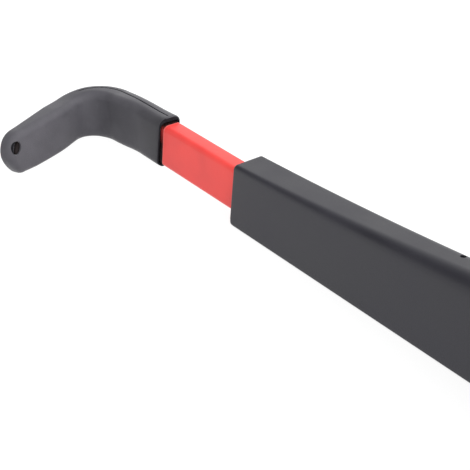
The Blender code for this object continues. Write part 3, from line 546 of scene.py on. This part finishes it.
# Rubber cover: the plate grows by the wall, by a cuff that widens linearly along the straight, by a swell
# (1-t^2)^2 on the inner side of the bend and by a crown of the same kind on its top edge
def hookCover(name, mirrored):
    size = coverSize
    end = coverEnd + size["longer"]
    tip = bluntTip(end, size["nose"], size["power"])
    swing = np.linspace(np.pi / 2, 0, 7)
    lip = size["lip"] * (1 - np.sin(swing))[::-1]
    lipS = cuffStart + size["lip"] * (1 - np.cos(swing))[::-1]
    s = np.concatenate([lipS, np.linspace(cuffStart + size["lip"], 0, 30)[1:],
                        np.linspace(0, hookArc, 40)[1:], np.linspace(hookArc, tip["start"], 26)[1:],
                        tipStations(tip, 30)[1:]])
    lip = np.concatenate([lip, np.zeros(len(s) - len(lip))])
    leg = onLeg(s)
    cuff = np.maximum(0, -s / hookPath["straight"])
    swell = np.maximum(0, 1 - ((s - size["swellAt"]) / size["swellOver"]) ** 2) ** 2
    crown = np.maximum(0, 1 - ((s - size["crownAt"]) / size["crownOver"]) ** 2) ** 2
    legRun = np.clip((s - hookArc) / (hookPath["leg"] - hookPath["evenBefore"]), 0, 1)
    half = barHalf["height"] - legTaper(s) - lip
    top = half + size["top"] + size["cuffTop"] * cuff + size["crown"] * crown - topDrop(s)
    low = half + size["low"] + size["cuffLow"] * cuff + size["legLow"] * legRun
    side = barHalf["thick"] + size["side"] + size["cuffSide"] * cuff - lip
    inner = side + size["bend"] * swell - legThinning(s)
    shift = size["bandShift"] * leg
    filletIn = size["fillet"] + (size["legFront"] - size["fillet"]) * leg
    filletOut = size["fillet"] + (size["legBack"] - size["fillet"]) * leg
    filletLow = size["fillet"] + (size["legUnder"] - size["fillet"]) * leg
    nearTip = np.clip((s - tip["start"]) / (size["evenOver"] * tip["nose"]) + 1, 0, 1)
    filletLow = filletLow + (filletIn - filletLow) * nearTip  # both are equal on the tip itself
    roomIn = inner + shift - size["filletRoom"]
    roomOut = side - shift - size["filletRoom"]
    fade = np.clip((size["seamStop"] * hookArc - s) / size["seamFade"], 0, 1)
    fade = fade * np.clip((s - cuffStart - size["seamStart"]) / size["seamEase"], 0, 1)
    lean = size["lean"] * np.clip((s - end) / size["leanOver"] + 1, 0, 1) ** 2
    outer, seamAndShadeMark = plateRings(s, top, low, inner, side, np.minimum(filletIn - lip, roomIn),
                                 np.minimum(filletOut - lip, roomOut), tip, mirrored, size["seamAndShade"] * fade,
                                 shift, cuffSlant(s), np.minimum(filletLow - lip, roomIn), lean)
    # painted shade: the cuff's front darkens towards its rim, on the side facing -y only
    shade = size["shade"] * np.clip(1 - (s - cuffStart) / size["shadeOver"], 0, 1) ** size["shadePower"]
    facing = np.clip(-outer[..., 1] / size["shadeDepth"], 0, 1)
    seamAndShadeMark = np.maximum(seamAndShadeMark, shade[:, None] * facing)  # the cuff's front darkens to the rim
    hollow, hollowMark = coverHollow(mirrored)
    # painted shade: the cuff's rim and the cover's hollow take most of the near-black
    onRim = np.where(lip > size["rimFrom"] * size["lip"], 1.0, 0.0)[:, None]
    rimMark = np.concatenate([np.ones((len(hollow), 1)), onRim])
    seamAndShadeMark = np.maximum(np.vstack([hollowMark[::-1], seamAndShadeMark]), size["rimShade"] * rimMark)
    cover = skin(name, np.vstack([hollow[::-1], outer]), marks={"seamAndShade": seamAndShadeMark})
    return carve(cover, [coverHole(mirrored)])


# Oval hole near the tip: ellipses about the leg's inner normal, from the path out past the rubber
def coverHole(mirrored):
    size = coverSize
    angle = np.arange(48) * 2 * np.pi / 48
    depth = np.array([0.0, 0.0, -size["holeDeep"], -size["holeDeep"]])[:, None]
    share = np.array([0.0, 1.0, 1.0, 0.0])[:, None]
    s = coverEnd + size["longer"] - size["holeFromTip"] + size["holeWide"] * share * np.cos(angle)
    rings = onHook(s, depth, size["holeUp"] + size["holeTall"] * share * np.sin(angle), mirrored)
    # the hole's walls take part of the near-black, painted shade in the hole
    return skin("holeTool", rings, marks={"seamAndShade": np.full((1, 1), size["holeShade"])})


# Bar on the hook path. The notches lower its top edge: each falls along a 45 degree slope, runs flat and
# stands up square, and two stations a hair apart at each corner keep its walls true.
def flatBar(name, tailX, notched, mirrored):
    size = barSize
    tail = bendX - (mirrorSum - tailX if mirrored else tailX)
    tip = bluntTip(coverEnd - size["tipBack"], size["tipNose"], size["tipPower"])
    swing = np.linspace(0, np.pi / 2, 5)
    ends = tail + size["edge"] * (1 - np.cos(swing))
    count = np.arange(-size["notchIn"], size["notchOut"] + 1) if notched else np.zeros(0)
    right = lockX + count * size["notchPitch"] + size["notchRight"] + size["notchGap"]
    left = right - size["notchFlat"] - 2 * size["notchGap"]
    slope = left - size["notchDeep"]
    corners = np.concatenate([right, left, slope])
    paintEnd = np.array([0.2, 0.5, 0.8, 1.0]) * size["paintIn"]
    ridgeRun = np.array([-2, -1, -0.4, 0.4, 1, 2]) * size["ridgeStep"]
    near = np.concatenate([np.linspace(tail + size["edge"], cuffStart, 60)[1:], cuffStart + paintEnd,
                           cuffStart - size["ridgeHighlight"] + ridgeRun,
                           bendX - (corners - size["hair"]), bendX - (corners + size["hair"])])
    s = np.concatenate([ends, np.sort(near), np.linspace(0, hookArc, 34),
                        np.linspace(hookArc, tip["start"], 14)[1:], tipStations(tip, 18)[1:]])
    edge = np.concatenate([size["edge"] * (1 - np.sin(swing)), np.zeros(len(s) - len(ends))])
    x = (bendX - s)[:, None]
    depth = np.clip(np.minimum(x - slope, size["notchDeep"]), 0, None) * (x > slope) * (x < right)
    drop = depth.max(1) if notched else 0.0
    half = barHalf["height"] - legTaper(s) - edge
    thick = barHalf["thick"] - edge
    inner = thick - legThinning(s)
    slant = coverSize["slant"] * np.maximum(0, 1 - np.abs(s - cuffStart) / size["slantReach"])
    rings = plateRings(s, half - drop - topDrop(s), half, inner, thick,
                       np.minimum(frontCorner(s) - edge, inner - size["spare"]), backCorner(s) - edge,
                       tip, mirrored, shift=size["bandShift"], slant=slant)[0]
    shut = rings[:1].copy()
    shut[..., 2] = barMid
    pastRidge = s - cuffStart + size["ridgeHighlight"]
    # painted shadow next to the cuff: past the highlight line the paint darkens, most at the bottom edge,
    # less at the top edge and least a little below it
    fall = 0.5 - (rings[..., 2] - barMid) / (2 * barHalf["height"])  # 0 on the top edge, 1 on the lower one
    cuffShadow = size["cuffShadow"] + size["cuffShadowFall"] * fall
    cuffShadow = cuffShadow + size["cuffShadowTop"] * np.clip(1 - fall / size["cuffShadowTopOver"], 0, 1)
    cuffShadow = np.clip(pastRidge / size["cuffShadowEase"], 0, 1)[:, None] * cuffShadow
    # the paint stops inside the cover, where the bar is its own dark steel, and the painted shadow joins it
    bareAndShadow = np.maximum(np.clip((s - cuffStart) / size["paintIn"], 0, 1)[:, None], cuffShadow)
    # painted highlight: a light line across the paint a little before the cuff
    ridgeHighlight = np.maximum(0, 1 - np.abs(pastRidge) / size["ridgeHalf"])[:, None]
    marks = {"bareAndShadow": np.vstack([bareAndShadow[:1], bareAndShadow]), "ridgeHighlight": np.vstack([ridgeHighlight[:1], ridgeHighlight])}
    return skin(name, np.vstack([shut, rings]), marks=marks, sharp=size["sharp"])


# Round tool across a bar where a pin goes through it, a gap wider than the pin
def crossHole(node):
    low, high = nodeBox(node)
    radius = (high[0] - low[0]) / 2 + slideGap
    centre = ((low[0] + high[0]) / 2, barMid)
    return roundBar("crossHole", radius, -barSize["holeHalf"], barSize["holeHalf"], centre)


for name, node, mirrored, body in (("slideHookCover", "slide_hook_cover", False, "sliding_bar"),
                                   ("fixedHookCover", "fixed_hook_cover", True, "housing")):
    settle(hookCover(name, mirrored), body, node, mouldedRubber, "seamAndShade", shadedRubber)
slideBar = flatBar("slideBar", slideHigh[0], True, False)
carve(slideBar, [crossHole("stop_pin")], sharp=barSize["sharp"])
settle(slideBar, "sliding_bar", "slide_bar", redPaint, "bareAndShadow", scaledSteelAndShadow)
fixedBar = flatBar("fixedBar", fixedLow[0], False, True)
carve(fixedBar, [crossHole("bar_rivet_1"), crossHole("bar_rivet_2")], sharp=barSize["sharp"])
settle(fixedBar, "housing", "fixed_bar", redPaint, "bareAndShadow", scaledSteelAndShadow)
print("hooks done")


# the housing's two sleeves

sleeveSize = {"front": 0.200, "rear": 0.210, "half": sleeveHigh[1], "crest": sleeveHigh[2], "steps": 130,
              "mouthAbove": 0.0180, "flareLine": 0.042, "flareCurve": 0.22, "crestHalf": 0.010,
              "crestRise": 0.032, "cornerMouth": 0.0015, "cornerCrest": 0.0050, "cornerLow": 0.0016,
              "cornerGrowth": 1.3, "frontShare": 1.55, "mouthRound": 0.0010, "slant": 0.11, "skew": 0.042,
              "ahead": 0.0021, "lowRound": 0.0032, "fade": 0.040, "split": 0.00006, "splitEdge": 0.0004,
              "boreY": 0.0072, "boreZ": 0.0147, "boreCorner": 0.0012, "boreStart": 0.004,
              "boreBack": 0.001, "throat": 0.0009, "roomGap": 0.0004, "roomStep": 0.0002, "sharp": 30}
flareEnd = sleeveSize["front"] - sleeveSize["crestHalf"] - sleeveSize["crestRise"]


# Top edge over the bar's middle: a parabola from the mouth to flareEnd, then a cubic that ends level at
# the crest
def topAbove(x):
    size = sleeveSize
    t = np.clip((x - flareEnd) / size["crestRise"], 0, 1)
    x = np.minimum(x, flareEnd)
    flare = size["mouthAbove"] + size["flareLine"] * x + size["flareCurve"] * x ** 2
    slope = size["flareLine"] + 2 * size["flareCurve"] * flareEnd
    leave = (2 * t ** 3 - 3 * t ** 2 + 1) * flare + (t ** 3 - 2 * t ** 2 + t) * size["crestRise"] * slope
    return leave + (3 * t ** 2 - 2 * t ** 3) * (size["crest"] - barMid)


# Sleeve: rounded rectangles along x, out along the outside and back along the bore, joined into a ring.
# Near the mouth x shears with height and depth, so the mouth leans as the real one does.
def sleeve(name, mirrored):
    size = sleeveSize
    length = size["rear"] if mirrored else size["front"]
    swing = np.linspace(0, np.pi / 2, 8)
    lastX = length - size["split"]
    outX = np.concatenate([size["mouthRound"] * (1 - np.sin(swing))[::-1],
                           np.linspace(size["mouthRound"], lastX - size["splitEdge"], size["steps"])[1:],
                           [lastX]])
    inset = np.concatenate([size["mouthRound"] * (1 - np.cos(swing))[::-1], np.zeros(size["steps"] - 1),
                            [size["splitEdge"]]])
    along = np.maximum(0, outX + size["front"] - length)
    growth = np.minimum(1, along / flareEnd) ** size["cornerGrowth"]
    upper = size["cornerMouth"] + (size["cornerCrest"] - size["cornerMouth"]) * growth
    outY, outZ = roundedRing(size["half"] - inset, inset, barMid + topAbove(along) - inset, upper - inset / 2,
                             size["cornerLow"] - inset / 2, size["frontShare"] * upper - inset / 2)
    roomX = length - (caseHigh[0] - lockX) - size["roomGap"]  # the lock's room starts here
    boreX = np.concatenate([[lastX, roomX, roomX - size["roomStep"]],
                            np.linspace(roomX - size["boreBack"], size["boreStart"], 40),
                            [size["throat"], 0.0]])
    boreTop = np.where(boreX >= roomX, plateHigh[2] + size["roomGap"], barMid + size["boreZ"])
    wide = np.zeros(len(boreX))
    wide[-1] = size["throat"]
    boreY, boreZ = roundedRing(size["boreY"] + wide, barMid - size["boreZ"] - wide / 2, boreTop + wide,
                               size["boreCorner"] + wide, size["boreCorner"] + wide)
    x = np.concatenate([outX, boreX])[:, None]
    y, z = np.vstack([outY, boreY]), np.vstack([outZ, boreZ])
    lean = size["slant"] * (z - barMid) - size["skew"] * (y + size["half"]) - size["ahead"]
    under = np.maximum(size["lowRound"] - z, 0)
    lean = lean + size["lowRound"] - np.sqrt(size["lowRound"] ** 2 - under ** 2)
    x = x + lean * np.maximum(0, 1 - x / size["fade"])
    x = lockX + size["rear"] - x if mirrored else lockX - size["front"] + x
    return skin(name, np.stack([x, y, z], -1), loop=True, sharp=size["sharp"])


bossRadius = lockZ - caseLow[2]
bossFace = caseHigh[1]
axisSpot = (lockX, lockZ)
openings = {"bossGap": 0.0004, "bevel": 0.0005, "flare": 0.0010, "pinGap": 0.0002, "pinUp": 0.012,
            "pinSoft": 0.0004}
for name, node, pinName, pinNode, mirrored in (
        ("frontSleeve", "front_sleeve", "frontSleevePin", "front_sleeve_pin", False),
        ("rearSleeve", "rear_sleeve", "rearSleevePin", "rear_sleeve_pin", True)):
    piece = sleeve(name, mirrored)
    wall = sleeveSize["half"]
    hole = bossRadius + openings["bossGap"]
    flare = hole + openings["flare"]
    bossTool = turned("bossTool", [(0, 0.0), (hole, 0.0), (hole, wall - openings["bevel"]),
                                   (flare, wall + openings["bevel"]), (flare, 2 * wall), (0, 2 * wall)],
                      axisSpot)
    pinLow, pinHigh = nodeBox(pinNode)
    pinMiddle = (pinLow + pinHigh) / 2
    pinRadius = (pinHigh[0] - pinLow[0]) / 2
    pinTool = roundBar("pinTool", pinRadius + openings["pinGap"], pinLow[2], pinHigh[2] + openings["pinUp"],
                       pinMiddle, "z")
    carve(piece, [bossTool, pinTool], sharp=sleeveSize["sharp"])
    settle(piece, "housing", node, satinMoulding)
    pin = roundBar(pinName, pinRadius, pinLow[2], pinHigh[2], pinMiddle, "z", soft=openings["pinSoft"])
    settle(pin, "housing", pinNode, drawnSteel)
print("sleeves done")


# bushes in both mouths: rounded rectangles out along the outside and back along the bar's way, joined into
# a ring
bushEdge = 0.0006
for name, node in (("mouthBush", "mouth_bush"), ("rearBush", "rear_bush")):
    low, high = nodeBox(node)
    start, end = low[0], high[0]
    x = np.array([start, start + bushEdge, end - bushEdge, end, end, end - bushEdge, start + bushEdge, start])
    inset = bushEdge * np.array([1, 0, 0, 1, -1, 0, 0, -1])
    outside = np.arange(8) < 4
    halfY = np.where(outside, high[1], barHalf["thick"] + slideGap) - inset
    halfZ = np.where(outside, high[2] - barMid, barHalf["height"] + slideGap) - inset
    corner = np.where(outside, sleeveSize["boreCorner"], barSize["backCorner"])
    y, z = roundedRing(halfY, barMid - halfZ, barMid + halfZ, corner, corner)
    bush = skin(name, np.stack([np.broadcast_to(x[:, None], y.shape), y, z], -1), loop=True)
    settle(bush, "housing", node, greyNylon)
print("bushes done")


# the lock: case with its boss, barrel and trim ring

lockSize = {"caseEdge": 0.0008, "bossStart": 0.003, "bossSoft": 0.0009, "plateGap": 0.0004, "plateIn": 0.001,
            "plateSide": 0.0003, "plateEdge": 0.0002, "past": 0.01, "boreGap": 0.0003, "boreBevel": 0.0004,
            "boreFlare": 0.0006, "boreRise": 0.0002, "channelGap": 0.0004, "channelEdge": 0.0003,
            "plugGap": 0.0003, "barrelSoft": 0.00045, "trimGap": 0.0003, "trimSoft": 0.0006}
barrelLow, barrelHigh = nodeBox("cylinder_barrel")
trimLow, trimHigh = nodeBox("key_ring_trim")
plugLow, plugHigh = nodeBox("key_plug")
boltLow, boltHigh = nodeBox("locking_bolt")
barrelRadius = (barrelHigh[0] - barrelLow[0]) / 2
plugRadius = (plugHigh[0] - plugLow[0]) / 2
trimRadius = (trimHigh[0] - trimLow[0]) / 2
past = lockSize["past"]  # tools reach this far past what they cut

caseTop = boltHigh[2] + lockSize["plateGap"]
lockCase = block("lockCase", caseLow, (caseHigh[0], -caseLow[1], caseTop), lockSize["caseEdge"])
boss = roundBar("boss", bossRadius, lockSize["bossStart"], bossFace, axisSpot, sides=96,
                soft=lockSize["bossSoft"])
plateTool = block("plateTool", (caseLow[0] - past, -lockSize["plateIn"], caseTop),
                  (caseHigh[0] + past, -caseLow[1] + lockSize["plateSide"], boltHigh[2] + past),
                  lockSize["plateEdge"])
carve(boss, [plateTool])
carve(lockCase, [boss], "UNION")
bore = barrelRadius + lockSize["boreGap"]
flare = bore + lockSize["boreFlare"]
boreTool = turned("boreTool", [(0, boltHigh[1]), (bore, boltHigh[1]),
                               (bore, bossFace - lockSize["boreBevel"]),
                               (flare, bossFace + lockSize["boreRise"]),
                               (flare, bossFace + past), (0, bossFace + past)], axisSpot)
gap = lockSize["channelGap"]
channelTool = block("channelTool", (boltLow[0] - gap, boltLow[1] - gap, caseLow[2] - past),
                    (boltHigh[0] + gap, boltHigh[1] + gap, boltHigh[2] + past), lockSize["channelEdge"])
carve(lockCase, [boreTool, channelTool])
settle(lockCase, "housing", "lock_case", blackZinc)


# Ring with softened edges between two radii and two distances along the key's axis
def lockRing(name, inner, outer, start, end, soft):
    profile = softLine([(inner, start), (outer, start), (outer, end), (inner, end)], soft, closed=True)
    return turned(name, profile, axisSpot, loop=True)


barrel = lockRing("cylinderBarrel", plugRadius + lockSize["plugGap"], barrelRadius, barrelLow[1],
                  barrelHigh[1], lockSize["barrelSoft"])
settle(barrel, "housing", "cylinder_barrel", turnedBrass)
trim = lockRing("keyRingTrim", barrelRadius + lockSize["trimGap"], trimRadius, trimLow[1], trimHigh[1],
                lockSize["trimSoft"])
settle(trim, "housing", "key_ring_trim", brightNickel)
print("lock done")

# nodes that keep their own shape get a finish
plainNodes = {drawnSteel: ["guide_tube", "case_plate", "case_screw_1", "case_screw_2", "barrel_pin",
                           "bolt_spring", "bar_rivet_1", "bar_rivet_2", "stop_pin", "plug_clip",
                           "locking_bolt"],
              turnedBrass: ["wafer_%d" % k for k in range(1, 6)],
              brightNickel: ["key_plug"]}
for finish, names in plainNodes.items():
    for name in names:
        nodes[name].data.materials.clear()
        nodes[name].data.materials.append(finish)
print("kept nodes:", sum(map(len, plainNodes.values())))


# floor, light and camera

# The floor glows a little less towards the housing, from one x to the other
floorLook = {"half": 12.0, "height": -0.0002, "colour": (0.16, 0.16, 0.16, 1), "rough": 0.9, "specular": 0.1,
             "glow": (0.94, 0.84), "across": (-0.25, 0.12)}
half, height = floorLook["half"], floorLook["height"]
floorMesh = bpy.data.meshes.new("floor")
floorMesh.from_pydata([(-half, -half, height), (half, -half, height), (half, half, height),
                       (-half, half, height)], [], [(0, 1, 2, 3)])
floor = bpy.data.objects.new("floor", floorMesh)
bpy.context.scene.collection.objects.link(floor)
floorFinish, tree, shader = newFinish("paleFloor", Base_Color=floorLook["colour"],
                                      Roughness=floorLook["rough"], Specular_IOR_Level=floorLook["specular"],
                                      Emission_Color=(1, 1, 1, 1))
place = addNode(tree, "SeparateXYZ")
tree.links.new(addNode(tree, "TexCoord").outputs["Object"], place.inputs[0])
glow = spread(tree, place.outputs["X"], *floorLook["glow"], *floorLook["across"])
tree.links.new(glow, shader.inputs["Emission Strength"])
floorMesh.materials.append(floorFinish)

# Sky: even white, dimmer high up at the front left and brighter towards a lamp on the right, with a weak glow
# at the back left. Each range holds the cosines to a side at which its share starts and is complete.
sky = {"bright": 1.50, "dimBy": 1.30, "dimSide": (-0.695, -0.50, 0.515), "dimRange": (0.30, 0.92),
       "highRange": (0.08, 0.36), "lamp": 2.30, "lampSide": (0.88, 0.34, 0.33), "lampRange": (0.35, 0.95),
       "glow": 0.20, "glowSide": (-0.70, 0.52, 0.50), "glowRange": (0.55, 0.95)}
world = bpy.data.worlds.new("studio")
world.use_nodes = True
bpy.context.scene.world = world
tree = world.node_tree
direction = addNode(tree, "TexCoord")


# Strength that grows from 0 to most as the direction's cosine to a side runs through a range
def towards(side, most, cosines):
    facing = addNode(tree, "VectorMath")
    facing.operation = "DOT_PRODUCT"
    facing.inputs[1].default_value = side
    tree.links.new(direction.outputs["Generated"], facing.inputs[0])
    return spread(tree, facing.outputs["Value"], 0.0, most, *cosines)


def combine(operation, first, second):
    node = addNode(tree, "Math")
    node.operation = operation
    for socket, value in zip(node.inputs, (first, second)):
        if isinstance(value, float):
            socket.default_value = value
        else:
            tree.links.new(value, socket)
    return node.outputs["Value"]


highUp = towards((0.0, 0.0, 1.0), sky["dimBy"], sky["highRange"])  # no dimming near the horizon
dimming = combine("MULTIPLY", towards(sky["dimSide"], 1.0, sky["dimRange"]), highUp)
lamp = towards(sky["lampSide"], sky["lamp"], sky["lampRange"])
glow = towards(sky["glowSide"], sky["glow"], sky["glowRange"])
level = combine("ADD", combine("SUBTRACT", sky["bright"], dimming), combine("ADD", lamp, glow))
tree.links.new(level, tree.nodes["Background"].inputs["Strength"])
tree.nodes["Background"].inputs["Color"].default_value = (1, 1, 1, 1)

shot = {"azimuth": math.radians(53.41), "elevation": math.radians(29.90), "distance": 0.6215,
        "target": (-0.1111, 0.0, -0.01249), "lens": 91.9}
back = Vector((math.sin(shot["azimuth"]) * math.cos(shot["elevation"]),
               -math.cos(shot["azimuth"]) * math.cos(shot["elevation"]), math.sin(shot["elevation"])))
camera = bpy.data.objects.new("camera", bpy.data.cameras.new("camera"))
camera.data.lens = shot["lens"]
camera.location = Vector(shot["target"]) + back * shot["distance"]
camera.rotation_euler = (-back).to_track_quat("-Z", "Y").to_euler()
bpy.context.scene.collection.objects.link(camera)
bpy.context.scene.camera = camera
bpy.context.scene.view_settings.view_transform = "Standard"
print("stage done")
